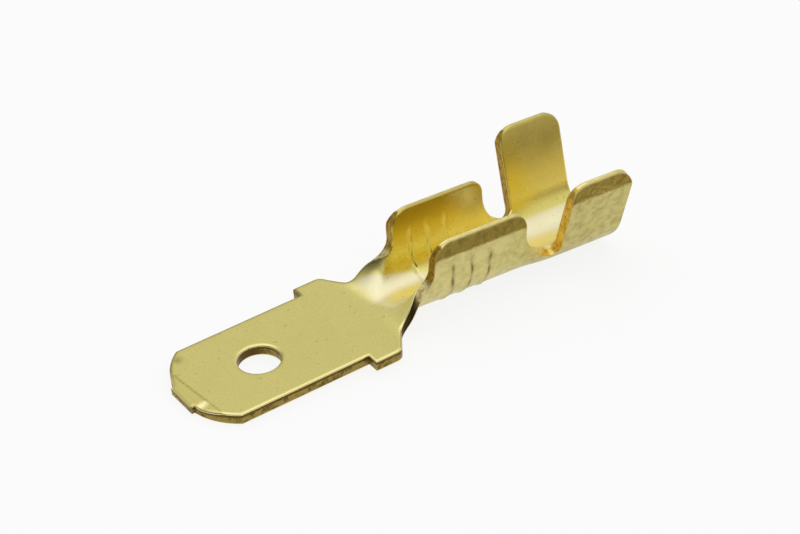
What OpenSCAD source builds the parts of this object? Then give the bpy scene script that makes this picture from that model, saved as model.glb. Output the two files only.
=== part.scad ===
// Male spade terminal: one piece of brass sheet, stamped, then folded into two open crimp barrels.
// Origin: centre of the tab's hole, on the tab's underside. X runs from the tip to the barrels.

/* [Sheet] */
// Thickness of the brass sheet
sheet_t = 0.6; // [0.45:0.05:0.75]

/* [Tab] */
// Width of the tab
tab_w = 6.3; // [5.6:0.1:6.6]
// Length of the tab from its tip to the stop ears
tab_l = 8.9; // [8.2:0.1:9.8]
// Diameter of the latching hole
hole_d = 2.2; // [1.4:0.1:2.6]
// Distance from the tip to the middle of the hole
hole_from_tip = 4.5; // [4:0.1:5.2]
// Radius of the round nose corners
nose_r = 3.5; // [3.3:0.1:4.2]
// Distance of each nose arc's centre from the middle line
nose_offset = 0.3; // [0.1:0.05:0.4]
// Width of the flat nib where the tab was cut from its strip
nib_w = 1.95; // [1.2:0.05:2.4]
// Length of the nib's sides
nib_l = 0.17; // [0.1:0.01:0.35]
// Length of the bevel on the tip's upper face
tip_bevel_l = 0.65; // [0.3:0.05:1]
// Depth of that bevel at the tip
tip_bevel_d = 0.15; // [0.05:0.01:0.25]

/* [Stop ears] */
// Width over both ears
ear_w = 7.66; // [7.2:0.02:8.4]
// Length of an ear along its outer edge, to the sharp corner
ear_l = 1.53; // [1.2:0.01:2.2]
// Radius of the ear's rear corner
ear_corner_r = 0.5; // [0.2:0.05:0.7]
// Slope of the ear's rear edge, in degrees from the tab's length
ear_slope = 57; // [46:1:65]

/* [Neck] */
// Width of the flat sheet at the neck's narrowest place
neck_w = 4.72; // [4.2:0.02:5]
// Radius of the relief between ear and neck
ear_relief_r = 0.6; // [0.4:0.05:1]
// Length of the neck's straight edges
neck_l = 1; // [0.7:0.05:1.4]
// Angle by which each straight edge widens toward the barrel
neck_taper = 12.5; // [8:0.5:20]
// Radius of the relief between neck and wire wing
wing_relief_r = 0.88; // [0.6:0.02:1.2]
// Length of full U section ahead of the wire wings
curl_lead = 0.1; // [0.05:0.05:0.5]
// Angle by which the barrels hang below the tab's plane
droop = 3.8; // [0:0.1:6]

/* [Wire barrel] */
// Inner radius of the barrel's floor
wire_r = 1.48; // [1.3:0.02:1.7]
// Angle by which each wing leans outward
wire_flare = 6; // [3:1:11]
// Height of the wings above the barrel's underside
wire_h = 4.35; // [4:0.05:4.9]
// Length of the wings
wire_l = 5.65; // [4.8:0.05:7]
// Radius of the wings' front upper corners
wire_front_r = 1.1; // [0.5:0.05:1.4]
// Radius of the wings' rear upper corners
wire_rear_r = 0.7; // [0.3:0.05:1.2]
// Height of the coined bevel on the wings' outer faces
wire_bevel_h = 0.78; // [0.5:0.02:1]

/* [Serrations] */
// Number of serrations
serration_n = 3; // [1:1:4]
// Distance from the wings' front edge to the first one's middle
serration_from = 0.98; // [0.7:0.02:1.2]
// Spacing of the serrations
serration_pitch = 1.12; // [0.8:0.02:1.3]
// Width of a serration
serration_w = 0.36; // [0.2:0.02:0.5]
// Depth of the groove pressed into the inner face
groove_d = 0.1; // [0.04:0.01:0.15]
// Height of the ridge raised on the outer face
ridge_h = 0.06; // [0.02:0.01:0.1]
// Height to which the serrations run up the wings
serration_h = 3; // [2.6:0.05:3.2]

/* [Strap between the barrels] */
// Length of the notch between the wings
notch_l = 2.02; // [1.7:0.02:2.4]
// Width of the flat sheet at the notch's bottom
strap_w = 4.5; // [4.2:0.02:5]
// Radius of the notch's long sweep behind the wire wing
sweep_r = 1.65; // [1.4:0.05:1.9]
// Radius of the notch's tight end at the insulation wing
notch_r = 0.5; // [0.35:0.05:0.65]

/* [Insulation barrel] */
// Inner radius of the barrel's floor
grip_r = 2.08; // [1.9:0.02:2.3]
// Angle by which each wing leans outward
grip_flare = 16; // [10:1:20]
// Height of the left wing above the barrel's underside, seen from the wire
grip_left_h = 5.62; // [5.2:0.02:6.2]
// Height of the right wing
grip_right_h = 5.92; // [5.2:0.02:6.2]
// Length of the wings
grip_l = 3.8; // [3.2:0.05:4.8]
// Radius of the wings' front upper corners
grip_front_r = 0.9; // [0.3:0.05:1.2]
// Radius of the wings' rear upper corners
grip_rear_r = 1; // [0.3:0.05:1.2]
// Height of the coined bevel on the wings' outer faces
grip_bevel_h = 0.8; // [0.6:0.02:1.2]

/* [Wing tips] */
// Thickness that the coined bevel leaves at the wings' top edges
wing_tip_t = 0.3; // [0.2:0.02:0.4]

/* [Hidden] */
$fn = 96;

// Length by which a cut runs past what it cuts
over = 1;
// Amount by which round and straight outlines cross, so that they join in a clean corner
slip = 0.001;
// Amount by which the formed neck and strap stay inside the faces they run into
skin = 0.015;
// Length by which they run into them
lap = 0.05;
// Steps across and along the formed neck and strap
spans = 40;
steps = 19;

// Places along the tab
tip_x = -hole_from_tip;
ear_x = tip_x + tab_l;
nose_x = tip_x + nib_l + arc_height(nose_r, nib_w / 2 - nose_offset);
ear_end = [ear_x + ear_l, ear_w / 2];
ear_normal = [sin(ear_slope), cos(ear_slope)];

// Relief arcs on both sides of the neck
relief_y = neck_w / 2 + ear_relief_r;
relief_x = ear_end.x + (ear_relief_r - (relief_y - ear_end.y) * ear_normal.y) / ear_normal.x;
relief = [relief_x, relief_y];
relief_start = relief - ear_relief_r * ear_normal;
taper_start = relief + ear_relief_r * [sin(neck_taper), -cos(neck_taper)];
taper_end = taper_start + neck_l * [1, tan(neck_taper)];
wing_relief = taper_end + wing_relief_r * [-sin(neck_taper), cos(neck_taper)];

// Slope of the ear's relief where the sheet starts to curl
curl_slope = 48;
curl_x = relief_x - ear_relief_r * sin(curl_slope);

// Places along the barrels
wire_x = wing_relief.x + wing_relief_r;
notch_x = wire_x + wire_l;
grip_x = notch_x + notch_l;
full_curl_x = wire_x - curl_lead;
hinge = [(curl_x + full_curl_x) / 2, 0, sheet_t / 2];

// Notch outline on the flat sheet: a long sweep that runs into a tight end
notch_end_s = strap_w / 2 + notch_r;
sweep_x = notch_x + sweep_r;
sweep_dx = sweep_x - (grip_x - notch_r);
sweep_s = notch_end_s + arc_height(sweep_r - notch_r, sweep_dx);
sweep_end_x = sweep_x - sweep_dx * sweep_r / (sweep_r - notch_r);

// Height of a circle of radius r at distance d from its middle
function arc_height(r, d) = sqrt(max(0, r * r - d * d));

// Smooth step from 0 to 1
function ease(u) = let(c = min(1, max(0, u))) c * c * (3 - 2 * c);
function mix(a, b, u) = a + (b - a) * u;

// Share of a fold along the sheet: slow at the start and quick at the end
function fold(u) = let(c = min(1, max(0, u))) c * c * (2 - c);

// Curvature of the sheet's middle layer in a barrel
function mid_curve(inner_r) = 1 / (inner_r + sheet_t / 2);

// Point of a bent section: s runs along the sheet from its middle line, n runs outward through it
function bent_point(s, n, curve, flare) =
    let(bend = min(abs(s) * curve * 180 / PI, 90 - flare))
    let(rest = abs(s) - bend * PI / 180 / curve)
    [sign(s) * (sin(bend) / curve + rest * sin(flare) + n * sin(bend)),
     sheet_t / 2 + (1 - cos(bend)) / curve + rest * cos(flare) - n * cos(bend)];

// Closed loop round a section: across the inner face, then back across the outer one
function section_loop(half_w, curve, flare) =
    let(n = sheet_t / 2 - skin, w = half_w - skin)
    concat([for (i = [0:spans]) bent_point(mix(-w, w, i / spans), -n, curve, flare)],
           [for (i = [0:spans]) bent_point(mix(w, -w, i / spans), n, curve, flare)]);

// A point of the straight part, turned down about the neck's hinge line
function drooped(p, angle) =
    let(d = p - hinge)
    hinge + [d.x * cos(angle) + d.z * sin(angle), d.y, d.z * cos(angle) - d.x * sin(angle)];

// Half width of the flat sheet along the neck and along the strap
function neck_edge(x) =
    x < taper_start.x ? relief_y - arc_height(ear_relief_r, x - relief_x)
    : x < taper_end.x ? taper_start.y + (x - taper_start.x) * tan(neck_taper)
    : wing_relief.y - arc_height(wing_relief_r, x - wing_relief.x);
function strap_edge(x) =
    x < sweep_end_x ? sweep_s - arc_height(sweep_r, x - sweep_x)
    : notch_end_s - arc_height(notch_r, x - grip_x + notch_r);

// Section of the neck, whose sides fold up from flat to the wire barrel's U
function neck_loop(x) =
    let(flare = mix(90, wire_flare, fold((x - curl_x) / (full_curl_x - curl_x))))
    [for (p = section_loop(neck_edge(x), mid_curve(wire_r), flare))
        drooped([x, p.x, p.y], droop * ease((x - curl_x) / (wire_x - curl_x)))];

// Section of the strap, which goes from the wire barrel's U to the insulation barrel's
function strap_loop(x) =
    let(u = ease((x - notch_x) / notch_l))
    let(curve = mid_curve(mix(wire_r, grip_r, u)))
    [for (p = section_loop(strap_edge(x), curve, mix(wire_flare, grip_flare, u))) [x, p.x, p.y]];

// Places of the sections between two planes, closer together near both, with a lap past each plane
function stations(from, to) =
    concat([from - lap],
           [for (i = [1:steps - 1]) mix(from, to, (1 - cos(180 * i / steps)) / 2)],
           [to + lap]);

// Solid through a row of closed loops
module loft(loops) {
    count = len(loops[0]);
    last = len(loops) - 1;
    sides = [for (k = [0:last - 1], i = [0:count - 1])
        let(j = (i + 1) % count, a = k * count, b = a + count)
        each [[a + i, a + j, b + j], [a + i, b + j, b + i]]];
    start = [for (i = [0:spans - 1]) [count - 1 - i, count - 2 - i, i + 1, i]];
    end = [for (f = start) [for (i = [3:-1:0]) f[i] + last * count]];
    polyhedron([for (loop = loops) each loop], concat(sides, start, end));
}

// Outline of the flat part: nose, tab, ears and the start of the neck
module tab_outline() {
    difference() {
        union() {
            intersection() {
                translate([tip_x, -tab_w / 2])
                    square([ear_end.x - tip_x, tab_w]);
                union() {
                    for (side = [-1, 1])
                        translate([nose_x, side * nose_offset])
                            circle(r = nose_r);
                    translate([nose_x, -tab_w])
                        square([ear_end.x - nose_x, 2 * tab_w]);
                }
            }
            translate([tip_x, -nib_w / 2])
                square([ear_x - tip_x, nib_w]);
            for (side = [0, 1])
                mirror([0, side])
                    ear_outline();
        }
        circle(d = hole_d);
    }
}

// One ear with its half of the neck's start
module ear_outline() {
    corner = [ear_end.x - ear_corner_r * tan(ear_slope / 2), ear_end.y - ear_corner_r];
    outward = [sin(ear_slope / 2), cos(ear_slope / 2)];
    difference() {
        polygon([[ear_x, -slip], [ear_x, ear_end.y], ear_end, relief_start, [curl_x, relief_start.y],
                 [curl_x, -slip]]);
        translate(relief)
            circle(r = ear_relief_r + slip);
        difference() {
            polygon([corner, [corner.x, ear_end.y + over], ear_end + over * outward,
                     corner + (ear_corner_r + over) * ear_normal]);
            translate(corner + slip * outward)
                circle(r = ear_corner_r);
        }
    }
}

module tab() {
    difference() {
        linear_extrude(sheet_t)
            tab_outline();
        rotate([90, 0, 0])
            linear_extrude(tab_w + over, center = true)
                polygon([[tip_x, sheet_t - tip_bevel_d], [tip_x + tip_bevel_l, sheet_t],
                         [tip_x + tip_bevel_l, sheet_t + over], [tip_x - over, sheet_t + over],
                         [tip_x - over, sheet_t - tip_bevel_d]]);
    }
}

module neck() {
    loft([for (x = stations(curl_x, wire_x)) neck_loop(x)]);
}

module strap() {
    loft([for (x = stations(notch_x, grip_x)) strap_loop(x)]);
}

// Point on a wing's side view section: u runs up the wing, r is the distance from the barrel's axis
function wing_point(side, r, u, axis_z, flare) =
    [side * (r * cos(flare) + u * sin(flare)), axis_z - r * sin(flare) + u * cos(flare)];

// Length of a wing from where it leaves the round floor to its top
function wing_length(inner_r, flare, height) =
    (height - sheet_t - inner_r + inner_r * sin(flare)) / cos(flare);

// Section inside a face at distance r from the barrel's axis, open at the top
module barrel_space(r, inner_r, flare, length) {
    axis_z = sheet_t + inner_r;
    translate([0, axis_z])
        circle(r = r);
    polygon([wing_point(1, r - slip, 0, axis_z, flare), wing_point(1, r - slip, length, axis_z, flare),
             wing_point(-1, r - slip, length, axis_z, flare), wing_point(-1, r - slip, 0, axis_z, flare)]);
}

// Section inside a barrel's outer face, with the wings' coined bevels and square tops
module barrel_block(inner_r, flare, heights, bevel_h) {
    axis_z = sheet_t + inner_r;
    outer_r = inner_r + sheet_t;
    translate([0, axis_z])
        circle(r = outer_r);
    for (side = [-1, 1]) {
        length = wing_length(inner_r, flare, heights[side < 0 ? 0 : 1]);
        wing = [[0, 0], [outer_r - slip, 0], [outer_r - slip, length - bevel_h],
                [inner_r + wing_tip_t, length], [inner_r - wing_tip_t, length]];
        polygon([for (p = wing) wing_point(side, p.x, p.y, axis_z, flare)]);
    }
}

// Extrusion of a section along the barrel
module along(x, length) {
    translate([x, 0, 0])
        rotate([90, 0, 90])
            linear_extrude(length)
                children();
}

// Cut that rounds the upper corner of the wing on one side; it takes off what lies before the corner
module corner_cut(x, height, r, side, reach, behind) {
    translate([x, side < 0 ? 0 : reach, height])
        mirror([behind ? 1 : 0, 0, 0])
            rotate([90, 0, 0])
                linear_extrude(reach)
                    difference() {
                        translate([-over, -r])
                            square([r + over, r + over]);
                        translate([r - slip, slip - r])
                            circle(r = r);
                    }
}

// Shell of a barrel: floor and both wings, with the heights of the left and the right one
module barrel(x, length, inner_r, flare, heights, bevel_h, front_r, rear_r) {
    wing_l = wing_length(inner_r, flare, max(heights));
    reach = inner_r + sheet_t + wing_l;
    difference() {
        along(x, length)
            barrel_block(inner_r, flare, heights, bevel_h);
        along(x - over, length + 2 * over)
            barrel_space(inner_r, inner_r, flare, wing_l + over);
        for (side = [-1, 1]) {
            height = heights[side < 0 ? 0 : 1];
            corner_cut(x, height, front_r, side, reach, false);
            corner_cut(x + length, height, rear_r, side, reach, true);
        }
    }
}

// Part of a serration that lies between two faces of the wire barrel
module serration(r_from, r_to, i) {
    wing_l = wing_length(wire_r, wire_flare, wire_h);
    width = 2 * (r_to + wing_l);
    along(wire_x + serration_from + i * serration_pitch - serration_w / 2, serration_w)
        intersection() {
            difference() {
                barrel_space(r_to, wire_r, wire_flare, wing_l);
                barrel_space(r_from, wire_r, wire_flare, wing_l + over);
            }
            translate([-width / 2, -over])
                square([width, serration_h + over]);
        }
}

module wire_barrel() {
    outer_r = wire_r + sheet_t;
    difference() {
        union() {
            barrel(wire_x, wire_l, wire_r, wire_flare, [wire_h, wire_h], wire_bevel_h, wire_front_r, wire_rear_r);
            for (i = [0:serration_n - 1])
                serration(outer_r - ridge_h, outer_r + ridge_h, i);
        }
        for (i = [0:serration_n - 1])
            serration(wire_r - groove_d, wire_r + groove_d, i);
    }
}

module grip_barrel() {
    barrel(grip_x, grip_l, grip_r, grip_flare, [grip_left_h, grip_right_h], grip_bevel_h,
           grip_front_r, grip_rear_r);
}

module terminal() {
    color([0.78, 0.7, 0.38])
        union() {
            tab();
            neck();
            translate(hinge)
                rotate([0, droop, 0])
                    translate(-hinge) {
                        wire_barrel();
                        strap();
                        grip_barrel();
                    }
        }
}

terminal();
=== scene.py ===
# Male spade terminal of stamped and folded brass: a fine mesh of the sheet, its finish and a small studio
import math

import bpy
import numpy as np
from mathutils import Matrix, Vector, noise
from mathutils.geometry import delaunay_2d_cdt


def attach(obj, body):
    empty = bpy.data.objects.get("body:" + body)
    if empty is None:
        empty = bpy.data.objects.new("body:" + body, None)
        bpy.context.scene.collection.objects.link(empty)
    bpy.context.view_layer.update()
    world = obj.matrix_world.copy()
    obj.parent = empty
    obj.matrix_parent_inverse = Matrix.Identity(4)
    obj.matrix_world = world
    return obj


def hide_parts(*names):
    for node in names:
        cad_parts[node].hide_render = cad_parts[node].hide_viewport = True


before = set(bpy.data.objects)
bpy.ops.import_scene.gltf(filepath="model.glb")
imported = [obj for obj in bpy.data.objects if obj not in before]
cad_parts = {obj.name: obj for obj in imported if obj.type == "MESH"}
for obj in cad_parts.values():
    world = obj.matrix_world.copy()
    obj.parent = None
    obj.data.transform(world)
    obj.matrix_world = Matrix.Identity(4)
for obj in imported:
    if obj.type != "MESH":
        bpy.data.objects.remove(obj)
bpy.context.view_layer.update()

# Lengths below are millimetres and angles degrees, as in the part's source
MM = 0.001

# Sheet and tab
SHEET_T = 0.6
TAB_W = 6.3
TAB_L = 8.9
HOLE_D = 2.2
HOLE_FROM_TIP = 4.5
NOSE_R = 3.5
NOSE_OFFSET = 0.3
NIB_W = 1.95
NIB_L = 0.17
TIP_BEVEL_L = 0.65
TIP_BEVEL_D = 0.15

# Stop ears and neck
EAR_W = 7.66
EAR_L = 1.53
EAR_CORNER_R = 0.5
EAR_SLOPE = 57
NECK_W = 4.72
EAR_RELIEF_R = 0.6
NECK_L = 1
NECK_TAPER = 12.5
WING_RELIEF_R = 0.88
CURL_SLOPE = 48
CURL_LEAD = 0.1
DROOP = 3.8

# Wire barrel
WIRE_R = 1.48
WIRE_FLARE = 6
WIRE_H = 4.35
WIRE_L = 5.65
WIRE_FRONT_R = 1.1
WIRE_REAR_R = 0.7
WIRE_BEVEL_H = 0.78
SERRATIONS = 3
SERRATION_FROM = 0.98
SERRATION_PITCH = 1.12
SERRATION_W = 0.36
SERRATION_H = 3

# Strap and insulation barrel, with left and right as seen from the wire
NOTCH_L = 2.02
STRAP_W = 4.5
SWEEP_R = 1.65
NOTCH_R = 0.5
GRIP_R = 2.08
GRIP_FLARE = 16
GRIP_LEFT_H = 5.62
GRIP_RIGHT_H = 5.92
GRIP_L = 3.8
GRIP_FRONT_R = 0.9
GRIP_REAR_R = 1
GRIP_BEVEL_H = 0.8
WING_TIP_T = 0.3

# Rounded upper edges, their share of that size at the hole and on the barrels, and where that comes in
ROLL_W = 0.13
ROLL_D = 0.08
HOLE_ROLL = 1.2
BARREL_ROLL = 0.7
BARREL_LEAD = 1

# Sharper lower edges
BURR_W = 0.03
BURR_D = 0.015

# Rounded tops of the wings, and the shares of the bevel's height where they start and are full
TOP_ROLL_W = 0.13
TOP_ROLL_D = 0.1
TOP_FROM = (0.7, 0.8)

# Tear in the lower half of a cut: its depth, and the shares of the thickness where it starts and grows less
TEAR_D = 0.02
TEAR_FROM = (0.35, 0.55)
TEAR_LESS_FROM = (0.8, 1)
TEAR_LESS = 0.6

# Unevenness of the tear: its mean and swing, and its rate along the edge and through the thickness
TEAR_MEAN = 0.6
TEAR_SWING = 0.8
TEAR_RATE = 4
TEAR_DEEP_RATE = 3

# Serrations: grooves inside, shallower on the floor, and ridges outside, with a slow rise and a sharp drop
GROOVE_D = 0.06
FLOOR_GROOVE = 0.3
FLOOR_EDGE = (0.8, 1.7)
RIDGE_H = 0.06
SERRATION_RISE = 0.26
SERRATION_DROP = 0.08
SERRATION_FADE = 1

# Waver of the serrations' lines: its size, and each wave's share, rate and shift per line
SERRATION_WAVER = 0.035
SERRATION_WAVES = ((1, 2.3, 1.7), (0.6, 5.3, 4.1))

# Painted shade in the creases behind the ridges: width, mean strength and swing, and the swing's rate and
# shift per line
CREASE_W = 0.11
CREASE_MEAN = 0.7
CREASE_SWING = 0.3
CREASE_RATE = 6.7
CREASE_SHIFT = 9

# Soft start of the neck's fold, as a share of the fold's length
FOLD_START = 0.22

# Slant of the tip's bevel, and the small facet beside the nib
BEVEL_SLANT = 0.1
FACET_S = -1.05
FACET_W = 0.4
FACET_D = 0.12

# Spacing of the mesh on the edges, on the faces and at the serrations, there along and across the part
EDGE_STEP = 0.09
FACE_STEP = 0.14
SERRATION_STEPS = (0.03, 0.06)

# How many crease widths the finer points reach past each serration
CREASE_WIDTHS = 3

# Rows of points along each edge: their depths, and the share of it that they keep from other edges
EDGE_ROWS = (0.006, 0.018, 0.04, 0.075, 0.12, 0.19)
ROW_SHARE = 0.93

# Distance that the other points keep from the edges
FACE_MARGIN = 0.25

# Rows of points down a cut, as shares of the thickness, and the value of the cuts' mask at their top
WALL_LEVELS = (0.07, 0.25, 0.42, 0.52, 0.7, 0.88)
WALL_START = 0.1

# Settings of the triangulation, of the search for the nearest edge and of the shading
INSIDE_ONLY = 1
WELD = 1e-6
BATCH = 500
SHARP_ANGLE = 28

# Painted highlight on the inner face, a pale sheen where the neck and the barrels' floors mirror the
# overhead light: places along the length with its left and right edge there
SHEEN_EDGES = (
    (6.6, 0.4, 2.3),
    (7.4, -1.4, 2.15),
    (8.1, -2.2, 1.85),
    (8.9, -2.2, 1.65),
    (10.4, -1.4, 1),
    (14.2, -1.8, 1),
    (16, -3, 1.84),
    (20.5, -3, 1.92),
)

# Widths over which the strip's left edge, right edge and start fade, its strength, and its dull left half
SHEEN_FADE = (0.7, 0.3)
SHEEN_LEAD = 0.9
SHEEN_SHARE = 0.8
SATIN_SIDE = (0.3, 1.3)
SATIN_LEAD = (7, 8)

# Where the outer face's own finish starts along the length, and where it turns duller
FORMED_FROM = (5.5, 8)
REAR_FROM = (12, 16)

# Share of a bevel's height over which its colour comes in
BEVEL_FADE = 1 / 12

# Where the wings' inner faces start, to the right, to the left and along the length
WING_FROM = (1.1, 1.7)
LEFT_WING_FROM = (1.4, 2)
WING_START = (8.3, 9.1)

# Strength of the painted light and shade on the insulation wings, and the length over which it changes to
# that
GRIP_PAINTED_SHARE = 0.7
GRIP_LEAD = 1

# How much lower the painted shade on a wing's upper part starts, as a share of its height
WIRE_SHADE_LIFT = 0.2
WIRE_SHADE_LIFT_FROM = (12.6, 14.2)
GRIP_SHADE_LIFT = 0.12

# Painted highlight along the left wings' tops: its strength, and how far from the edge it starts and is
# full
TOP_HIGHLIGHT_SHARE = 0.7
TOP_HIGHLIGHT_REACH = (0.075, 0.025)

# Where the cut edges take other tints, among them painted shade, a painted reflection and painted
# highlights: places along the length, and across it at the hole
BARREL_CUT_FROM = (8.1, 8.9)
GOLD_REFLECTION_FROM = (13.5, 15)
NECK_CUT = (5.9, 6.3, 7.7, 8.2)
RELIEF_CUT = (7.9, 8.2, 8.7, 8.95)
HOLE_CUT = (0.6, 1.05)

# Where the painted edge shade and the painted edge highlights start behind the nib
TAB_FROM = (-4.3, -3.9)

# Painted shade along the edges without a painted highlight, as dark outlines: its width, and its share at
# the hole
EDGE_SHADE_W = 0.22
HOLE_EDGE_SHADE = 0.5

# Edges with a painted highlight: the side of the hole's rim, their strength, and how far in it starts and
# is full
RIM_SIDE = (-0.4, 0.6)
EDGE_HIGHLIGHT_SHARE = 0.6
EDGE_HIGHLIGHT_REACH = (0.169, 0.039)

# Width of the painted highlight streak on the facet beside the nib
STREAK_W = 0.14142

# Marks on the tab: the line behind the tip's bevel, and a smudge on the right side of the nose
TIP_LINE_W = 0.035
TIP_LINE_SHARE = 0.6
SMUDGE_PLACE = (-3.25, 2.45)
SMUDGE_R = 0.25
SMUDGE_SHARE = 0.6


# Places along the length and centres of the outline's arcs


def arc_height(r, d):
    """Height of a circle of radius r at distance d from its middle."""
    return math.sqrt(r * r - d * d)


def direction(angle):
    """Unit vector at an angle in degrees."""
    return np.array([math.cos(math.radians(angle)), math.sin(math.radians(angle))])


def wing_s(inner_r, flare, height):
    """Distance along the sheet from its middle line to a height on a wing's inner face."""
    lean = math.radians(flare)
    bent = (math.pi / 2 - lean) * (inner_r + SHEET_T / 2)
    return bent + (height - SHEET_T - inner_r + inner_r * math.sin(lean)) / math.cos(lean)


TIP_X = -HOLE_FROM_TIP
EAR_X = TIP_X + TAB_L
NOSE_X = TIP_X + NIB_L + arc_height(NOSE_R, NIB_W / 2 - NOSE_OFFSET)
EAR_END = np.array([EAR_X + EAR_L, EAR_W / 2])
EAR_NORMAL = direction(90 - EAR_SLOPE)
RELIEF_Y = NECK_W / 2 + EAR_RELIEF_R
RELIEF_X = EAR_END[0] + (EAR_RELIEF_R - (RELIEF_Y - EAR_END[1]) * EAR_NORMAL[1]) / EAR_NORMAL[0]
RELIEF = np.array([RELIEF_X, RELIEF_Y])
TAPER_NORMAL = direction(90 + NECK_TAPER)
TAPER_START = RELIEF - EAR_RELIEF_R * TAPER_NORMAL
TAPER_END = TAPER_START + NECK_L * np.array([1, math.tan(math.radians(NECK_TAPER))])
WING_RELIEF = TAPER_END + WING_RELIEF_R * TAPER_NORMAL
CURL_X = RELIEF_X - EAR_RELIEF_R * math.sin(math.radians(CURL_SLOPE))
WIRE_X = WING_RELIEF[0] + WING_RELIEF_R
FULL_CURL_X = WIRE_X - CURL_LEAD
HINGE_X = (CURL_X + FULL_CURL_X) / 2
NOTCH_X = WIRE_X + WIRE_L
GRIP_X = NOTCH_X + NOTCH_L
REAR_X = GRIP_X + GRIP_L
NOTCH_END = np.array([GRIP_X - NOTCH_R, STRAP_W / 2 + NOTCH_R])
SWEEP_X = NOTCH_X + SWEEP_R
SWEEP = np.array([SWEEP_X, NOTCH_END[1] + arc_height(SWEEP_R - NOTCH_R, SWEEP_X - NOTCH_END[0])])

# Places across the sheet: the wings' tops, by side, and where the serrations have ended and are still full
WIRE_TOP = wing_s(WIRE_R, WIRE_FLARE, WIRE_H)
GRIP_TOPS = {-1: wing_s(GRIP_R, GRIP_FLARE, GRIP_LEFT_H), 1: wing_s(GRIP_R, GRIP_FLARE, GRIP_RIGHT_H)}
SERRATION_TOP = wing_s(WIRE_R, WIRE_FLARE, SERRATION_H)
SERRATION_ENDS = (SERRATION_TOP + SERRATION_FADE / 2, SERRATION_TOP - SERRATION_FADE / 2)


def mix(a, b, u):
    """Value at share u of the way from a to b."""
    return a + (b - a) * u


def ease(u):
    """Smooth step from 0 to 1."""
    c = np.clip(u, 0, 1)
    return c * c * (3 - 2 * c)


def between(value, limits):
    """Smooth step from 0 at the first limit to 1 at the second."""
    return ease((value - limits[0]) / (limits[1] - limits[0]))


def band(value, limits):
    """1 between the middle two of four limits, and 0 outside the outer two."""
    return between(value, limits[:2]) * (1 - between(value, limits[2:]))


def hill(offset, width):
    """Smooth hill with 1 in its middle."""
    return np.exp(-(offset / width) ** 2)


def fold(u):
    """Share of the neck's fold: slow at the start, with no line where it begins, and quick at the end."""
    c = np.clip((u + np.sqrt(u * u + FOLD_START ** 2)) / 2, 0, 1)
    return c * c * (2 - c)


# Outline of the flat blank


def arc(centre, r, start, end):
    """Points of an arc between two angles, both ends included."""
    count = max(3, math.ceil(abs(math.radians(end - start)) * r / EDGE_STEP) + 1)
    return np.array([centre + r * direction(a) for a in np.linspace(start, end, count)])


def wing_corner(x, top, r, flare, behind):
    """Round upper corner of a wing: a circle in side view, which the lean stretches on the flat blank."""
    middle = np.array([x - r if behind else x + r, 0])
    points = arc(middle, r, 90 if behind else 180, 0 if behind else 90)
    points[:, 1] = top + (points[:, 1] - r) / math.cos(math.radians(flare))
    return points


def edge_path(side):
    """The blank's edge on one side, from the middle of the tip to the middle of the rear end."""
    nose_angle = math.degrees(math.asin((TAB_W / 2 - NOSE_OFFSET) / NOSE_R))
    nib_angle = math.degrees(math.asin((NIB_W / 2 - NOSE_OFFSET) / NOSE_R))
    ear_corner = EAR_END - EAR_CORNER_R * np.array([math.tan(math.radians(EAR_SLOPE / 2)), 1])
    notch_angle = math.degrees(math.atan2(*(NOTCH_END - SWEEP)[::-1])) % 360
    top = GRIP_TOPS[side]
    parts = [
        [(TIP_X, 0), (TIP_X, NIB_W / 2)],
        arc(np.array([NOSE_X, NOSE_OFFSET]), NOSE_R, 180 - nib_angle, 180 - nose_angle),
        [(EAR_X, TAB_W / 2), (EAR_X, EAR_END[1])],
        arc(ear_corner, EAR_CORNER_R, 90, 90 - EAR_SLOPE),
        arc(RELIEF, EAR_RELIEF_R, 270 - EAR_SLOPE, 270 + NECK_TAPER),
        arc(WING_RELIEF, WING_RELIEF_R, 270 + NECK_TAPER, 360),
        wing_corner(WIRE_X, WIRE_TOP, WIRE_FRONT_R, WIRE_FLARE, False),
        wing_corner(NOTCH_X, WIRE_TOP, WIRE_REAR_R, WIRE_FLARE, True),
        arc(SWEEP, SWEEP_R, 180, notch_angle),
        arc(NOTCH_END, NOTCH_R, notch_angle, 360)[1:],
        wing_corner(GRIP_X, top, GRIP_FRONT_R, GRIP_FLARE, False),
        wing_corner(REAR_X, top, GRIP_REAR_R, GRIP_FLARE, True),
        [(REAR_X, 0)],
    ]
    path = np.vstack(parts)
    path[:, 1] *= side
    return path


def filled(loop):
    """A closed loop with points added so that no stretch is longer than the edge step."""
    points = []
    for a, b in zip(loop, np.roll(loop, -1, axis=0)):
        count = max(1, math.ceil(np.linalg.norm(b - a) / EDGE_STEP))
        points += [mix(a, b, i / count) for i in range(count)]
    return np.array(points)


def blank_loops():
    """The blank's outer edge, anticlockwise, and the hole's, clockwise."""
    left, right = edge_path(-1), edge_path(1)
    outer = np.vstack([left[:-1], right[:0:-1]])
    hole = arc(np.zeros(2), HOLE_D / 2, 360, 0)[:-1]
    return [filled(outer), filled(hole)]


def edge_distance(points, loops):
    """Distance of each point from the nearest edge of the blank."""
    starts = np.vstack(loops)
    ends = np.vstack([np.roll(loop, -1, axis=0) for loop in loops])
    runs = ends - starts
    lengths = (runs ** 2).sum(axis=1)
    nearest = np.empty(len(points))
    for i in range(0, len(points), BATCH):
        gap = points[i:i + BATCH, None] - starts
        along = np.clip((gap * runs).sum(axis=2) / lengths, 0, 1)
        nearest[i:i + BATCH] = np.sqrt(((gap - along[..., None] * runs) ** 2).sum(axis=2).min(axis=1))
    return nearest


def is_inside(points, loop):
    """Whether each point lies inside a closed loop."""
    inside = np.zeros(len(points), bool)
    for a, b in zip(loop, np.roll(loop, -1, axis=0)):
        if a[1] == b[1]:
            continue
        crosses = (points[:, 1] < a[1]) != (points[:, 1] < b[1])
        at = a[0] + (points[:, 1] - a[1]) * (b[0] - a[0]) / (b[1] - a[1])
        inside ^= crosses & (points[:, 0] < at)
    return inside


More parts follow.
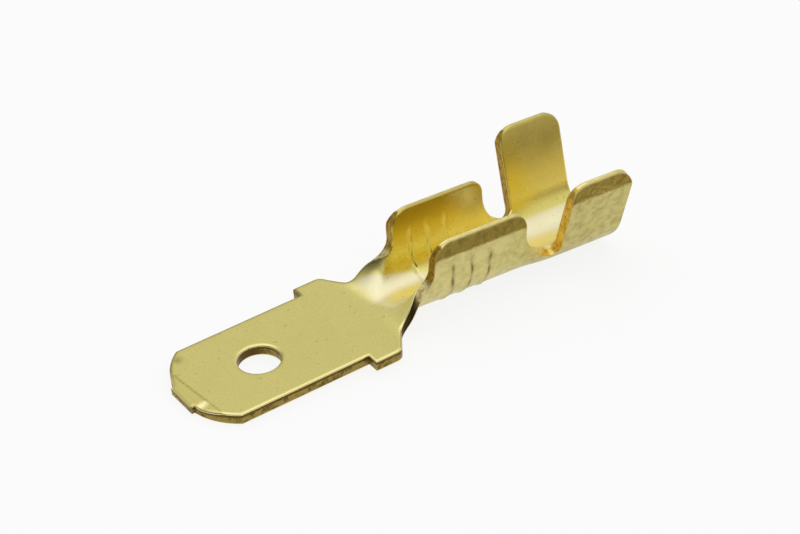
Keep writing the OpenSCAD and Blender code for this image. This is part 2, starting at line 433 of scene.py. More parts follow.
def outward(loop):
    """Unit normal of a loop at each of its points, pointing out of the sheet."""
    run = np.roll(loop, -1, axis=0) - np.roll(loop, 1, axis=0)
    run /= np.linalg.norm(run, axis=1)[:, None]
    return np.column_stack([run[:, 1], -run[:, 0]])


# Relief of the two faces


def serration_middles():
    """Places of the serrations along the length."""
    return [WIRE_X + SERRATION_FROM + i * SERRATION_PITCH for i in range(SERRATIONS)]


def serrations(x, s):
    """For each serration, the distance of points from its wavering line and how much of it is left."""
    kept = between(np.abs(s), SERRATION_ENDS)
    for i, middle in enumerate(serration_middles()):
        waves = [share * np.sin(rate * s + shift * i) for share, rate, shift in SERRATION_WAVES]
        yield x - middle - SERRATION_WAVER * sum(waves), kept


def serration_shape(x, s):
    """1 in the grooves and on the ridges behind them, which start slowly in front and end sharply."""
    half = SERRATION_W / 2
    shapes = [ease((t + half) / SERRATION_RISE) * ease((half - t) / SERRATION_DROP) * kept
              for t, kept in serrations(x, s)]
    return np.max(shapes, axis=0)


def crease_shade(x, s):
    """Painted shade: dark lines in the creases behind the ridges, stronger at some places than at others.
    """
    lines = []
    for i, (t, kept) in enumerate(serrations(x, s)):
        strength = CREASE_MEAN + CREASE_SWING * np.sin(CREASE_RATE * s + CREASE_SHIFT * i)
        lines.append(hill(t - SERRATION_W / 2, CREASE_W) * kept * strength)
    return np.max(lines, axis=0)


def bevel_lines():
    """Each wing's side, its first and last place along the length, and its bevel's lower and upper edge."""
    lines = []
    for side in (-1, 1):
        lines.append((side, WIRE_X, NOTCH_X, WIRE_TOP - WIRE_BEVEL_H, WIRE_TOP))
        lines.append((side, GRIP_X, REAR_X, GRIP_TOPS[side] - GRIP_BEVEL_H, GRIP_TOPS[side]))
    return lines


def bevel_share(x, s):
    """How far up a wing's coined bevel each point lies, from 0 at its lower edge to 1 at the top."""
    share = np.zeros_like(x)
    for side, first, last, low, high in bevel_lines():
        on = (x >= first) & (x <= last)
        share = np.where(on, np.maximum(share, (s * side - low) / (high - low)), share)
    return share


def rounded(d, width, depth):
    """Depth of a rounded edge at distance d from it."""
    return depth * (1 - np.sqrt(1 - np.clip(1 - d / width, 0, 1) ** 2))


def on_top(x, s):
    """1 along the wings' top edges."""
    return between(bevel_share(x, s), TOP_FROM)


def by_hole(x, s):
    """Whether each point lies by the hole, within its diameter of its middle."""
    return np.hypot(x, s) < HOLE_D


def tip_bevel_length(s):
    """Length of the tip's bevel, which runs aslant across the tab."""
    return TIP_BEVEL_L - BEVEL_SLANT * np.clip(s, -TAB_W / 2, TAB_W / 2)


def upper_depth(x, s, d):
    """Depth of the upper or inner face below the flat sheet's."""
    size = np.where(by_hole(x, s), HOLE_ROLL, mix(1, BARREL_ROLL, ease((x - CURL_X) / BARREL_LEAD)))
    edge = rounded(d, ROLL_W * size, ROLL_D * size)
    roll = mix(edge, rounded(d, TOP_ROLL_W, TOP_ROLL_D), on_top(x, s))
    facet = FACET_D * np.clip((FACET_S - s) / FACET_W, 0, 1)
    tip = (TIP_BEVEL_D + facet) * np.clip(1 - (x - TIP_X) / tip_bevel_length(s), 0, 1)
    groove = GROOVE_D * mix(FLOOR_GROOVE, 1, between(np.abs(s), FLOOR_EDGE))
    return roll + tip + groove * serration_shape(x, s)


def lower_depth(x, s, d):
    """Depth of the lower or outer face inside the flat sheet's."""
    burr = mix(rounded(d, BURR_W, BURR_D), rounded(d, TOP_ROLL_W, TOP_ROLL_D), on_top(x, s))
    coined = (SHEET_T - WING_TIP_T) * np.clip(bevel_share(x, s), 0, 1)
    return burr + coined - RIDGE_H * serration_shape(x, s)


# Masks: values on the mesh that tell the finish where it is


def painted_sheen_strip(x, s):
    """Painted highlight on the inner face: a pale sheen along the neck and the barrels' floors, where they
    mirror the overhead light.
    """
    along, left, right = np.array(SHEEN_EDGES).T
    past_left = ease((s - np.interp(x, along, left)) / SHEEN_FADE[0])
    before_right = ease((np.interp(x, along, right) - s) / SHEEN_FADE[1])
    return SHEEN_SHARE * past_left * before_right * ease((x - along[0]) / SHEEN_LEAD)


def on_wing(x, s):
    """How much of the wings' painted light and shade the inner faces have: none on the floor, the neck and
    the tab.
    """
    side = np.where(s > 0, between(s, WING_FROM), between(-s, LEFT_WING_FROM))
    return side * between(x, WING_START) * mix(1, GRIP_PAINTED_SHARE, ease((x - NOTCH_X) / GRIP_LEAD))


def wing_rise(x, s):
    """How far up a wing's inner face each point lies, up to 1, with some added where the painted shade
    starts lower.
    """
    top = np.where(x < GRIP_X, WIRE_TOP, np.where(s > 0, GRIP_TOPS[1], GRIP_TOPS[-1]))
    lift = np.where(x < GRIP_X, WIRE_SHADE_LIFT * between(x, WIRE_SHADE_LIFT_FROM), GRIP_SHADE_LIFT)
    return np.clip((np.abs(s) - WING_FROM[1]) / (top - WING_FROM[1]) + lift, 0, 1)


def highlighted_side(x, s):
    """1 at the edges with a painted highlight: the tab's left edge and the right side of the hole."""
    return np.where(by_hole(x, s), between(s, RIM_SIDE), s < 0)


def on_tab(x):
    """1 on the tab, the ears and the neck, and 0 at the nib and on the barrels."""
    return band(x, TAB_FROM + WING_START)


def marks_and_edge_shade(x, s, d):
    """Painted shade along the edges, the line behind the tip's bevel and a smudge beside it."""
    edge_shade = between(d, (EDGE_SHADE_W, 0)) * (1 - highlighted_side(x, s)) * on_tab(x)
    edge_shade = np.where(by_hole(x, s), HOLE_EDGE_SHADE, 1) * edge_shade
    line = TIP_LINE_SHARE * hill(x - TIP_X - tip_bevel_length(s), TIP_LINE_W)
    smudge = SMUDGE_SHARE * hill(np.hypot(x - SMUDGE_PLACE[0], s - SMUDGE_PLACE[1]), SMUDGE_R)
    return np.max([edge_shade, line, smudge], axis=0)


def painted_highlight(x, s, d):
    """Painted highlights along the tab's left edges, and a painted highlight streak on the small facet
    beside the nib.
    """
    edge = EDGE_HIGHLIGHT_SHARE * between(d, EDGE_HIGHLIGHT_REACH) * highlighted_side(x, s) * on_tab(x)
    streak = hill(s - FACET_S + FACET_W / 2, STREAK_W) * (x < TIP_X + tip_bevel_length(s))
    return np.maximum(edge, streak)


def inner_masks(x, s, d):
    """Masks of the upper or inner face."""
    return {
        "painted_sheen": painted_sheen_strip(x, s),
        "satin": between(-s, SATIN_SIDE) * between(x, SATIN_LEAD),
        "painted_highlight": painted_highlight(x, s, d),
        "mark_and_edge_shade": marks_and_edge_shade(x, s, d),
        "tip": ease((tip_bevel_length(s) - x + TIP_X) / TIP_LINE_W),
        "wing": on_wing(x, s),
        "rise": wing_rise(x, s),
    }


def outer_masks(x, s):
    """Masks of the lower or outer face."""
    return {
        "outer": between(x, FORMED_FROM),
        "rear": between(x, REAR_FROM),
        "bevel": np.clip(bevel_share(x, s) / BEVEL_FADE, 0, 1),
        # crease: painted shade in the creases behind the ridges
        "crease": crease_shade(x, s),
    }


def shared_masks(x, s, d):
    """Masks that the cuts and both faces have."""
    return {
        # top: painted highlight along the left wings' tops
        "top": TOP_HIGHLIGHT_SHARE * on_top(x, s) * between(d, TOP_HIGHLIGHT_REACH) * (s < 0),
        "barrel_cut": between(x, BARREL_CUT_FROM),
        # painted gold reflection on the left barrels' cuts
        "gold_reflection_cut": between(x, GOLD_REFLECTION_FROM) * (s < 0),
        # painted highlight on the cut at the wing's relief
        "relief_highlight_cut": band(x, RELIEF_CUT),
        "hole_shade_cut": by_hole(x, s) * between(s, HOLE_CUT),
        "neck_shade_cut": band(x, NECK_CUT),
    }


def wall_mask(x, s, at):
    """How far down a cut each point lies, up to 1 at its lower edge, with 0 on faces and wings' tops."""
    side = 1 - on_top(x, s)[at]
    lower = np.zeros_like(x)
    lower[at] = side
    rings = [mix(WALL_START, 1, level) * side for level in WALL_LEVELS]
    return np.concatenate([np.zeros_like(x), lower] + rings)


def add_masks(mesh, x, s, d, at):
    """Write the masks to the mesh's points: those of the inner face, of the outer face and of the cuts."""
    none = np.zeros_like(x)
    rows = [(name, value, none, none) for name, value in inner_masks(x, s, d).items()]
    rows += [(name, none, value, none) for name, value in outer_masks(x, s).items()]
    rows += [(name, value, value, value) for name, value in shared_masks(x, s, d).items()]
    masks = {name: np.concatenate([inner, outer] + [cut[at]] * len(WALL_LEVELS))
             for name, inner, outer, cut in rows}
    masks["wall"] = wall_mask(x, s, at)
    for name, value in masks.items():
        mesh.attributes.new(name, "FLOAT", "POINT").data.foreach_set("value", value.astype(np.float32))


# Folding


def formed(x, s, n):
    """Place in space of points of the sheet: s runs across it to the right, n outward from its middle."""
    to_grip = ease((x - NOTCH_X) / NOTCH_L)
    wire_flare = mix(90, WIRE_FLARE, fold((x - CURL_X) / (FULL_CURL_X - CURL_X)))
    flare = np.radians(mix(wire_flare, GRIP_FLARE, to_grip))
    curve = 1 / (mix(WIRE_R, GRIP_R, to_grip) + SHEET_T / 2)
    bend = np.minimum(np.abs(s) * curve, math.pi / 2 - flare)
    rest = np.abs(s) - bend / curve
    y = np.sign(s) * (np.sin(bend) / curve + rest * np.sin(flare) + n * np.sin(bend))
    up = (1 - np.cos(bend)) / curve + rest * np.cos(flare) - n * np.cos(bend)
    turn = math.radians(DROOP) * ease((x - CURL_X) / (WIRE_X - CURL_X))
    along = x - HINGE_X
    return np.column_stack([HINGE_X + along * np.cos(turn) + up * np.sin(turn), y,
                            SHEET_T / 2 + up * np.cos(turn) - along * np.sin(turn)])


# Mesh


def row(first, last, step):
    """Even values from first to last, no further apart than the step."""
    return np.linspace(first, last, max(2, math.ceil(abs(last - first) / step) + 1))


def grid(xs, ss):
    """Points at every pair of two lists of values."""
    return np.array(np.meshgrid(xs, ss)).reshape(2, -1).T


def edge_rows(loops):
    """Rows of points along each edge of the blank."""
    rows = []
    for loop in loops:
        normal = outward(loop)
        for depth in EDGE_ROWS:
            inner = loop - depth * normal
            rows.append(inner[edge_distance(inner, loops) > ROW_SHARE * depth])
    return np.vstack(rows)


def face_points(loops):
    """Points away from the edges: an even spread, and more at the serrations."""
    points = []
    half_w = max(GRIP_TOPS.values())
    for i, s in enumerate(np.arange(-half_w, half_w, FACE_STEP * math.sqrt(3) / 2)):
        shift = FACE_STEP / 2 * (i % 2)
        points.append(np.array([(x + shift, s) for x in np.arange(TIP_X, REAR_X, FACE_STEP)]))
    reach = SERRATION_W / 2 + CREASE_WIDTHS * CREASE_W
    across = row(-SERRATION_ENDS[0], SERRATION_ENDS[0], SERRATION_STEPS[1])
    for middle in serration_middles():
        points.append(grid(row(middle - reach, middle + reach, SERRATION_STEPS[0]), across))
    spread = np.vstack(points)
    return spread[is_inside(spread, loops[0]) & (edge_distance(spread, loops) > FACE_MARGIN)]


def crease_lines():
    """Straight creases of the faces: the tip's bevel, its facet and the wings' bevels."""
    lines = [[(TIP_X + TIP_BEVEL_L - BEVEL_SLANT * s, s) for s in (-TAB_W / 2, TAB_W / 2)],
             [(TIP_X, FACET_S), (TIP_X + TIP_BEVEL_L - BEVEL_SLANT * FACET_S, FACET_S)]]
    for side, first, last, low, _ in bevel_lines():
        lines.append(((first, side * low), (last, side * low)))
    return np.array(lines)


def blank_points(loops):
    """Points of the blank, and the lines between them that the triangles keep: edges and creases."""
    points = list(loops)
    lines = []
    start = 0
    for loop in loops:
        count = len(loop)
        lines += [(start + i, start + (i + 1) % count) for i in range(count)]
        start += count
    for a, b in crease_lines():
        crease = np.array([mix(a, b, u) for u in row(0, 1, EDGE_STEP / np.linalg.norm(b - a))])
        crease = crease[is_inside(crease, loops[0]) & (edge_distance(crease, loops) > EDGE_ROWS[0])]
        points.append(crease)
        lines += [(start + i, start + i + 1) for i in range(len(crease) - 1)]
        start += len(crease)
    return np.vstack(points + [edge_rows(loops), face_points(loops)]), lines


def triangulated():
    """The flat blank as points, triangles and the distance of each point from the nearest edge."""
    loops = blank_loops()
    points, lines = blank_points(loops)
    flat = [Vector(p) for p in points.tolist()]
    verts, _, faces, *_ = delaunay_2d_cdt(flat, lines, [], INSIDE_ONLY, WELD, False)
    verts = np.array([tuple(v) for v in verts])
    faces = np.array([tuple(f) for f in faces])
    centres = verts[faces].mean(axis=1)
    faces = faces[is_inside(centres, loops[0]) & ~is_inside(centres, loops[1])]
    a, b, c = verts[faces].transpose(1, 0, 2)
    turned = (b - a)[:, 0] * (c - a)[:, 1] - (b - a)[:, 1] * (c - a)[:, 0] < 0
    faces[turned] = faces[turned][:, ::-1]
    used, index = np.unique(faces, return_inverse=True)
    verts = verts[used]
    return verts, index.reshape(-1, 3), edge_distance(verts, loops)


def rim_edges(faces):
    """Edges used by one triangle only, in its direction."""
    edges = np.vstack([faces[:, [0, 1]], faces[:, [1, 2]], faces[:, [2, 0]]])
    there = {tuple(e) for e in edges}
    return np.array([e for e in edges if (e[1], e[0]) not in there])


def rim_normals(flat, rim):
    """Outward normal on the flat blank at each rim edge's start, and the place of its end in the rim."""
    run = flat[rim[:, 1]] - flat[rim[:, 0]]
    run /= np.linalg.norm(run, axis=1)[:, None]
    place = {int(v): i for i, v in enumerate(rim[:, 0])}
    after = np.array([place[int(v)] for v in rim[:, 1]])
    before = np.argsort(after)
    run = run + run[before]
    run /= np.linalg.norm(run, axis=1)[:, None]
    return np.column_stack([run[:, 1], -run[:, 0]]), after


def cut_rings(edge, normal, upper, lower):
    """Places of the points down the cuts, one ring for each level, with the tear in their lower half."""
    rings = []
    for level in WALL_LEVELS:
        torn = between(level, TEAR_FROM) * (1 - TEAR_LESS * between(level, TEAR_LESS_FROM))
        waves = [noise.noise((*(p * TEAR_RATE), level * TEAR_DEEP_RATE)) for p in edge]
        ragged = TEAR_MEAN + TEAR_SWING * np.array(waves)
        moved = edge - (TEAR_D * torn * ragged)[:, None] * normal
        rings.append(formed(moved[:, 0], moved[:, 1], mix(upper, lower, level)))
    return rings


def cut_faces(count, at, after):
    """Faces of the cuts, from the upper face's rim down the rings to the lower face's rim."""
    ring = len(at)
    rings = [2 * count + i * ring + np.arange(ring) for i in range(len(WALL_LEVELS))]
    levels = [at] + rings + [count + at]
    quads = [np.column_stack([low, low[after], high[after], high]) for high, low in zip(levels, levels[1:])]
    return np.vstack(quads)


def terminal_mesh():
    """The folded sheet with its rolled and torn edges, bevels and serrations."""
    flat, faces, d = triangulated()
    count = len(flat)
    x, s = flat.T
    upper = -SHEET_T / 2 + upper_depth(x, s, d)
    lower = SHEET_T / 2 - lower_depth(x, s, d)
    rim = rim_edges(faces)
    normal, after = rim_normals(flat, rim)
    # Points of the rim, one for each of its edges
    at = rim[:, 0]
    places = [formed(x, s, upper), formed(x, s, lower)] + cut_rings(flat[at], normal, upper[at], lower[at])
    polygons = faces.tolist() + (count + faces[:, ::-1]).tolist() + cut_faces(count, at, after).tolist()
    mesh = bpy.data.meshes.new("brass_terminal")
    mesh.from_pydata((np.vstack(places) * MM).tolist(), [], polygons)
    mesh.update()
    add_masks(mesh, x, s, d, at)
    mesh.shade_smooth()
    mesh.set_sharp_from_angle(angle=math.radians(SHARP_ANGLE))
    return mesh


# Finish

# Colours of the tab's upper face, of the painted glow low on the wings' inner faces and the painted shade
# high on them, and of marks and the painted shade along the edges
BRASS = (0.81, 0.72, 0.25)
BRASS_DULL = (0.755, 0.67, 0.225)
BRASS_GRAIN = (0.6, 0.52, 0.15)
BRASS_TIP = (0.66, 0.58, 0.19)
WING_PAINTED_GLOW = (0.97, 0.85, 0.24)
WING_PAINTED_GLOW_DEEP = (0.97, 0.79, 0.18)
WING_PAINTED_SHADE = (0.6, 0.48, 0.12)
MARK_AND_EDGE_SHADE = (0.22, 0.16, 0.04)

# Colours of the outer faces and their bevels
BRASS_OUTER = (0.68, 0.6, 0.245)
BRASS_OUTER_DULL = (0.55, 0.475, 0.175)
BRASS_REAR = (0.595, 0.52, 0.178)
BRASS_REAR_DULL = (0.42, 0.35, 0.106)
BRASS_BEVEL = (0.5, 0.4, 0.105)
BRASS_BEVEL_DULL = (0.38, 0.3, 0.075)
CREASE_SHADE = (0.17, 0.095, 0.01)

# Colours of painted highlights and of stains
BRASS_PAINTED_SHEEN = (0.9, 0.84, 0.6)
BRASS_PAINTED_HIGHLIGHT = (0.97, 0.85, 0.45)
WING_TOP_HIGHLIGHT = (0.88, 0.75, 0.33)
STAIN = (0.25, 0.17, 0.05)

# Colours of the cuts, with painted shade, a painted reflection and painted highlights among them
CUT_SMOOTH_SHADE = (0.11, 0.068, 0.012)
CUT_TORN = (0.34, 0.25, 0.06)
CUT_BLOTCH = (0.14, 0.095, 0.02)
CUT_BARREL = (0.42, 0.25, 0.02)
CUT_BARREL_BLOTCH = (0.2, 0.115, 0.01)
CUT_GOLD_REFLECTION = (0.95, 0.72, 0.2)
CUT_GOLD_REFLECTION_BLOTCH = (0.68, 0.44, 0.08)
CUT_RELIEF_HIGHLIGHT = (0.62, 0.54, 0.28)
CUT_SHADED = (0.05, 0.035, 0.012)
CUT_CORNER_HIGHLIGHT = (0.7, 0.6, 0.3)

# Noise patterns: the size of each, and its detail
PATTERNS = {
    "mottle": (1.2, 5),
    "patches": (0.4, 6),
    "grain": (0.12, 3),
    "streaks": (0.1, 3),
    "specks": (0.25, 1),
    "blotches": (0.25, 3),
    "pebbles": (0.3, 5),
}

# Values of a pattern or mask between which each colour comes in, and the strength of the weaker ones
MOTTLE_FROM = (0.35, 0.7)
GRAIN_FROM = (0.45, 0.75)
GRAIN_SHARE = 0.4
WING_GLOW_DEEP_FROM = (0.15, 0.5)
WING_SHADE_FROM = (0.5, 0.9)
MARK_GRAIN = (0.2, 0.6)
MARK_LEAST = 0.6
PATCH_FROM = (0.35, 0.75)
BEVEL_PATCH_FROM = (0.45, 0.65)
SPECK_FROM = (0.7, 0.77)
SPECK_SHARE = 0.3
BLOTCH_FROM = (0.42, 0.68)
TORN_FROM = (0.45, 0.65)
TORN_STREAK = 0.4
CORNER_FROM = (0.92, 0.99)
CUT_FROM = (0.02, 0.12)

# Roughness: the patterns' values and the roughness at them, what the sheen strip and the satin strip add,
# and the cuts'
INNER_MOTTLE = (0.3, 0.7)
INNER_ROUGH = (0.22, 0.3)
SHEEN_ROUGH = 0.13
SATIN_ROUGH = 0.3
OUTER_GRAIN = (0.3, 0.7)
OUTER_ROUGH = (0.3, 0.42)
CUT_ROUGH = 0.42

# Bumps: the depth and the strength of each
GRAIN_BUMP = (0.004, 0.35)
PEBBLE_BUMP = (0.06, 0.9)
TEAR_BUMP = (0.02, 0.8)

# Places of a Mix node's two inputs and of its output, for each kind of value
MIX_SOCKETS = {"FLOAT": (2, 3, 0), "VECTOR": (4, 5, 1), "RGBA": (6, 7, 2)}


class Nodes:
    """Short calls for the nodes of one node tree. Sizes of patterns are millimetres."""

    def __init__(self, tree, coordinates):
        self.tree = tree
        self.place = tree.nodes.new("ShaderNodeTexCoord").outputs[coordinates]

    def add(self, kind, settings, inputs):
        """A new node with its settings, and its inputs linked or set."""
        node = self.tree.nodes.new(kind)
        for name, value in settings.items():
            setattr(node, name, value)
        for name, value in inputs.items():
            if isinstance(value, bpy.types.NodeSocket):
                self.tree.links.new(value, node.inputs[name])
            else:
                node.inputs[name].default_value = value
        return node

    def noise(self, size, detail):
        inputs = {"Vector": self.place, "Scale": 1 / (size * MM), "Detail": detail}
        return self.add("ShaderNodeTexNoise", {}, inputs).outputs[0]

    def mask(self, name):
        return self.add("ShaderNodeAttribute", {"attribute_name": name}, {}).outputs["Fac"]

    def height(self):
        return self.add("ShaderNodeSeparateXYZ", {}, {"Vector": self.place}).outputs["Z"]

    def ramp(self, value, limits, out=(0, 1)):
        """Smooth step from the first value of out to the second, between two limits."""
        inputs = {
            "Value": value,
            "From Min": limits[0],
            "From Max": limits[1],
            "To Min": out[0],
            "To Max": out[1],
        }
        return self.add("ShaderNodeMapRange", {"interpolation_type": "SMOOTHSTEP"}, inputs).outputs[0]

    def maths(self, operation, a, b):
        return self.add("ShaderNodeMath", {"operation": operation}, {0: a, 1: b}).outputs[0]

    def mixed(self, share, a, b, kind="RGBA"):
        """Mix of two colours, or of two values of another kind. A tuple is a colour."""
        first, second, out = MIX_SOCKETS[kind]
        a, b = [(*value, 1) if isinstance(value, tuple) else value for value in (a, b)]
        return self.add("ShaderNodeMix", {"data_type": kind}, {0: share, first: a, second: b}).outputs[out]

    def bump(self, height, depth, strength, below=None):
        """Normal of a bumpy surface, on top of the bumps below it."""
        inputs = {"Height": height, "Distance": depth * MM, "Strength": strength}
        if below is not None:
            inputs["Normal"] = below
        return self.add("ShaderNodeBump", {}, inputs).outputs[0]

    def link(self, socket, shader, name):
        self.tree.links.new(socket, shader.inputs[name])


def inner_colour(n, patterns):
    """Upper face of the tab and inner faces of the barrels, with painted light and shade on the wings,
    painted shade along the edges, and marks.
    """
    colour = n.mixed(n.ramp(patterns["mottle"], MOTTLE_FROM), BRASS, BRASS_DULL)
    colour = n.mixed(n.ramp(patterns["grain"], GRAIN_FROM, (0, GRAIN_SHARE)), colour, BRASS_GRAIN)
    colour = n.mixed(n.mask("tip"), colour, BRASS_TIP)
    rise = n.mask("rise")
    wing = n.mixed(n.ramp(rise, WING_GLOW_DEEP_FROM), WING_PAINTED_GLOW, WING_PAINTED_GLOW_DEEP)
    wing = n.mixed(n.ramp(rise, WING_SHADE_FROM), wing, WING_PAINTED_SHADE)
    colour = n.mixed(n.mask("wing"), colour, wing)
    marked = n.maths("MULTIPLY", n.mask("mark_and_edge_shade"), n.ramp(patterns["grain"], MARK_GRAIN, (MARK_LEAST, 1)))
    return n.mixed(marked, colour, MARK_AND_EDGE_SHADE)


def outer_colour(n, patterns):
    """Patchy outer faces, duller to the rear, with painted shade in the creases behind the ridges."""
    rear = n.mask("rear")
    plain = n.mixed(rear, BRASS_OUTER, BRASS_REAR)
    dull = n.mixed(rear, BRASS_OUTER_DULL, BRASS_REAR_DULL)
    colour = n.mixed(n.ramp(patterns["patches"], PATCH_FROM), plain, dull)
    return n.mixed(n.mask("crease"), colour, CREASE_SHADE)


def face_colour(n, patterns, outer):
    """Both faces with their bevels, painted highlights on the bends, along edges and on the wings' tops,
    and small stains.
    """
    colour = n.mixed(outer, inner_colour(n, patterns), outer_colour(n, patterns))
    bevel = n.mixed(n.ramp(patterns["patches"], BEVEL_PATCH_FROM), BRASS_BEVEL, BRASS_BEVEL_DULL)
    # Painted sheen on the bends, painted highlights along edges and a painted highlight on the wings' tops
    tints = {"bevel": bevel, "painted_sheen": BRASS_PAINTED_SHEEN, "painted_highlight": BRASS_PAINTED_HIGHLIGHT, "top": WING_TOP_HIGHLIGHT}
    for name, tint in tints.items():
        colour = n.mixed(n.mask(name), colour, tint)
    specks = n.maths("MULTIPLY", n.ramp(patterns["specks"], SPECK_FROM), SPECK_SHARE)
    return n.mixed(specks, colour, STAIN)


def cut_colour(n, patterns, wall):
    """Cuts: smooth above and torn below, with painted shade darkening the smooth band, the hole's wall and
    the neck's wall, a brown tint on the barrels, a painted gold reflection on the left barrels' cuts, and
    painted highlights at the relief and along the lower corner.
    """
    blotches = n.ramp(patterns["blotches"], BLOTCH_FROM)
    ragged = n.maths("ADD", wall, n.maths("MULTIPLY", patterns["streaks"], TORN_STREAK))
    torn = n.mixed(blotches, CUT_TORN, CUT_BLOTCH)
    colour = n.mixed(n.ramp(ragged, TORN_FROM), CUT_SMOOTH_SHADE, torn)
    tints = {
        "barrel_cut": n.mixed(blotches, CUT_BARREL, CUT_BARREL_BLOTCH),
        "gold_reflection_cut": n.mixed(blotches, CUT_GOLD_REFLECTION, CUT_GOLD_REFLECTION_BLOTCH),
        "relief_highlight_cut": n.mixed(blotches, CUT_RELIEF_HIGHLIGHT, CUT_TORN),
        "hole_shade_cut": CUT_SMOOTH_SHADE,
        "neck_shade_cut": CUT_SHADED,
    }
    for name, tint in tints.items():
        colour = n.mixed(n.mask(name), colour, tint)
    # Painted highlight along the cut's lower corner
    return n.mixed(n.ramp(wall, CORNER_FROM), colour, CUT_CORNER_HIGHLIGHT)


def roughness(n, patterns, outer, on_cut):
    """Smoother inner faces, rougher outer faces and cuts."""
    inner = n.ramp(patterns["mottle"], INNER_MOTTLE, INNER_ROUGH)
    for name, more in {"painted_sheen": SHEEN_ROUGH, "satin": SATIN_ROUGH}.items():
        inner = n.maths("ADD", inner, n.maths("MULTIPLY", n.mask(name), more))
    faces = n.mixed(outer, inner, n.ramp(patterns["grain"], OUTER_GRAIN, OUTER_ROUGH), "FLOAT")
    return n.mixed(on_cut, faces, CUT_ROUGH, "FLOAT")


def bumps(n, patterns, outer, on_cut):
    """Fine grain all over, pebbles on the outer faces and streaks on the cuts."""
    grain = n.bump(patterns["grain"], *GRAIN_BUMP)
    pebbles = n.bump(patterns["pebbles"], *PEBBLE_BUMP, grain)
    faces = n.mixed(outer, grain, pebbles, "VECTOR")
    return n.bump(n.maths("MULTIPLY", patterns["streaks"], on_cut), *TEAR_BUMP, faces)


def new_material(name):
    """A new material and its shader."""
    material = bpy.data.materials.new(name)
    material.use_nodes = True
    return material, material.node_tree.nodes["Principled BSDF"]


def brass_material():
    """Rolled brass sheet: mottled faces, duller outer faces, brown cuts with painted shade and highlights,
    and painted highlights on the bends.
    """
    material, shader = new_material("brass_sheet")
    n = Nodes(material.node_tree, "Object")
    patterns = {name: n.noise(*look) for name, look in PATTERNS.items()}
    outer, wall = n.mask("outer"), n.mask("wall")
    on_cut = n.ramp(wall, CUT_FROM)
    colour = n.mixed(on_cut, face_colour(n, patterns, outer), cut_colour(n, patterns, wall))
    n.link(colour, shader, "Base Color")
    n.link(roughness(n, patterns, outer, on_cut), shader, "Roughness")
    n.link(bumps(n, patterns, outer, on_cut), shader, "Normal")
    shader.inputs["Metallic"].default_value = 1
    return material


# Studio

# Camera: its distance, direction and roll, its shift from the hole's middle, its lens and its nearest view
CAMERA_DISTANCE = 130
CAMERA_AZIMUTH = -31.538
CAMERA_ELEVATION = 36.220
CAMERA_ROLL = -4.5165
CAMERA_ASIDE = 6.9439
CAMERA_UP = 4.5245
CAMERA_LENS = 118.74
CAMERA_CLIP = 13

# Floor
FLOOR_SIZE = 1200
FLOOR_COLOUR = (0.95, 0.95, 0.95)
FLOOR_GLOW = 0.85

# Where the part meets the floor: the reach of the tip's edge, and its least distance to the rear end
TIP_REACH = 0.1
LEVER = 1

# World light: its levels, the direction of the back, and where the back and the overhead light start
BACK_LEVEL = 0.7
FRONT_LEVEL = 0.05
BACK_SIDE = (0.9, 0.43, 0)
BACK_FROM = (-0.9, -0.3)
OVERHEAD_LEVEL = 1.15
OVERHEAD_FROM = (0.68, 0.82)

# Brown card that the metal mirrors
CARD_PLACE = (12, -8.6, 0)
CARD_W = 60
CARD_FOOT = -1
CARD_HEAD = 4
CARD_TURN = 3
CARD_LOW = (0.8, 0.7, 0.48)
CARD_HIGH = (0.46, 0.39, 0.25)
CARD_FADE = (0.5, 3.2)

# Roughness of the floor and the card
MATT = 0.9


def matt_material(name, colour):
    """A new material without gloss, and its shader."""
    material, shader = new_material(name)
    shader.inputs["Base Color"].default_value = (*colour, 1)
    shader.inputs["Roughness"].default_value = MATT
    shader.inputs["Specular IOR Level"].default_value = 0
    return material, shader


def add_object(name, data):
    """A new object in the scene."""
    obj = bpy.data.objects.new(name, data)
    bpy.context.scene.collection.objects.link(obj)
    return obj


def camera_axes():
    """Directions to the right of, above and behind the camera."""
    azimuth, elevation = math.radians(CAMERA_AZIMUTH), math.radians(CAMERA_ELEVATION)
    roll = math.radians(CAMERA_ROLL)
    back = Vector((math.sin(azimuth) * math.cos(elevation), -math.cos(azimuth) * math.cos(elevation),
                   math.sin(elevation)))
    level = Vector((0, 0, 1)).cross(back).normalized()
    rise = back.cross(level)
    right = level * math.cos(roll) + rise * math.sin(roll)
    up = rise * math.cos(roll) - level * math.sin(roll)
    return right, up, back


def add_camera():
    """A camera at the photo's viewing angle."""
    right, up, back = camera_axes()
    place = right * CAMERA_ASIDE + up * CAMERA_UP + back * CAMERA_DISTANCE + Vector((0, 0, SHEET_T))
    data = bpy.data.cameras.new("camera")
    data.lens = CAMERA_LENS
    data.clip_start = CAMERA_CLIP * MM
    camera = add_object("camera", data)
    camera.matrix_world = Matrix.Translation(place * MM) @ Matrix((right, up, back)).transposed().to_4x4()
    bpy.context.scene.camera = camera


def floor_material():
    """Pale floor that the camera and the metal see nearly white, with the part's shadow on it."""
    material, shader = matt_material("pale_floor", FLOOR_COLOUR)
    n = Nodes(material.node_tree, "Object")
    path = n.add("ShaderNodeLightPath", {}, {})
    seen = n.maths("MAXIMUM", path.outputs["Is Camera Ray"], path.outputs["Is Glossy Ray"])
    seen = n.maths("MAXIMUM", seen, path.outputs["Is Transmission Ray"])
    glow = n.add("ShaderNodeEmission", {}, {"Strength": 1})
    share = n.maths("MULTIPLY", seen, FLOOR_GLOW)
    mixed = n.add("ShaderNodeMixShader", {}, {0: share, 1: shader.outputs[0], 2: glow.outputs[0]})
    n.link(mixed.outputs[0], material.node_tree.nodes["Material Output"], "Surface")
    return material


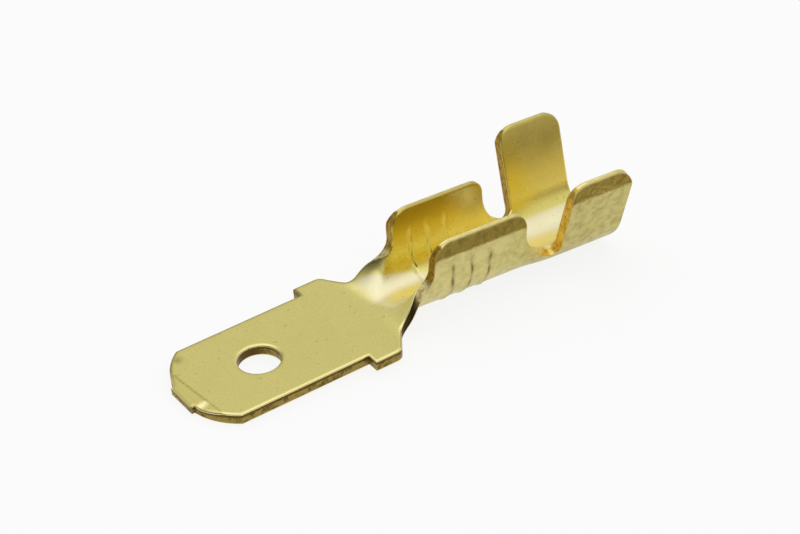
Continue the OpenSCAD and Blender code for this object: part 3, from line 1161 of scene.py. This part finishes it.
def add_floor(piece):
    """A pale floor under the tip's edge and the barrel's rear end, on which the part rests."""
    points = np.array([v.co for v in piece.data.vertices])
    tip = points[points[:, 0] < (TIP_X + TIP_REACH) * MM]
    front = tip[tip[:, 2].argmin()]
    slopes = (points[:, 2] - front[2]) / np.maximum(points[:, 0] - front[0], LEVER * MM)
    slope = slopes.min()
    half = FLOOR_SIZE * MM / 2
    mesh = bpy.data.meshes.new("floor")
    corners = [(x, y, front[2] + (x - front[0]) * slope) for x, y in
               ((-half, -half), (half, -half), (half, half), (-half, half))]
    mesh.from_pydata(corners, [], [(0, 1, 2, 3)])
    mesh.materials.append(floor_material())
    add_object("floor", mesh)


def card_material():
    """Brown card, paler toward its foot."""
    material, shader = matt_material("brown_card", CARD_LOW)
    n = Nodes(material.node_tree, "Object")
    share = n.ramp(n.height(), [height * MM for height in CARD_FADE])
    n.link(n.mixed(share, CARD_LOW, CARD_HIGH), shader, "Base Color")
    return material


def add_card():
    """A card in front of the part, which only the metal's reflections show."""
    half = CARD_W / 2
    mesh = bpy.data.meshes.new("front_card")
    corners = [(-half, 0, CARD_FOOT), (half, 0, CARD_FOOT), (half, 0, CARD_HEAD), (-half, 0, CARD_HEAD)]
    mesh.from_pydata([Vector(c) * MM for c in corners], [], [(0, 1, 2, 3)])
    mesh.materials.append(card_material())
    card = add_object("front_card", mesh)
    card.location = Vector(CARD_PLACE) * MM
    card.rotation_euler.z = math.radians(CARD_TURN)
    card.visible_camera = False
    card.visible_diffuse = False
    card.visible_shadow = False


def add_light():
    """Soft light: bright overhead, dimmer from the back and dark in front."""
    world = bpy.data.worlds.new("studio")
    world.use_nodes = True
    n = Nodes(world.node_tree, "Generated")
    toward = n.add("ShaderNodeVectorMath", {"operation": "DOT_PRODUCT"}, {0: n.place, 1: BACK_SIDE})
    level = n.ramp(toward.outputs["Value"], BACK_FROM, (FRONT_LEVEL, BACK_LEVEL))
    level = n.mixed(n.ramp(n.height(), OVERHEAD_FROM), level, OVERHEAD_LEVEL, "FLOAT")
    background = world.node_tree.nodes["Background"]
    background.inputs["Color"].default_value = (1, 1, 1, 1)
    n.link(level, background, "Strength")
    bpy.context.scene.world = world


# Scene

terminal = add_object("brass_terminal", terminal_mesh())
terminal.data.materials.append(brass_material())
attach(terminal, "root")
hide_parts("terminal")

add_camera()
add_floor(terminal)
add_card()
add_light()
bpy.context.scene.view_settings.view_transform = "Standard"
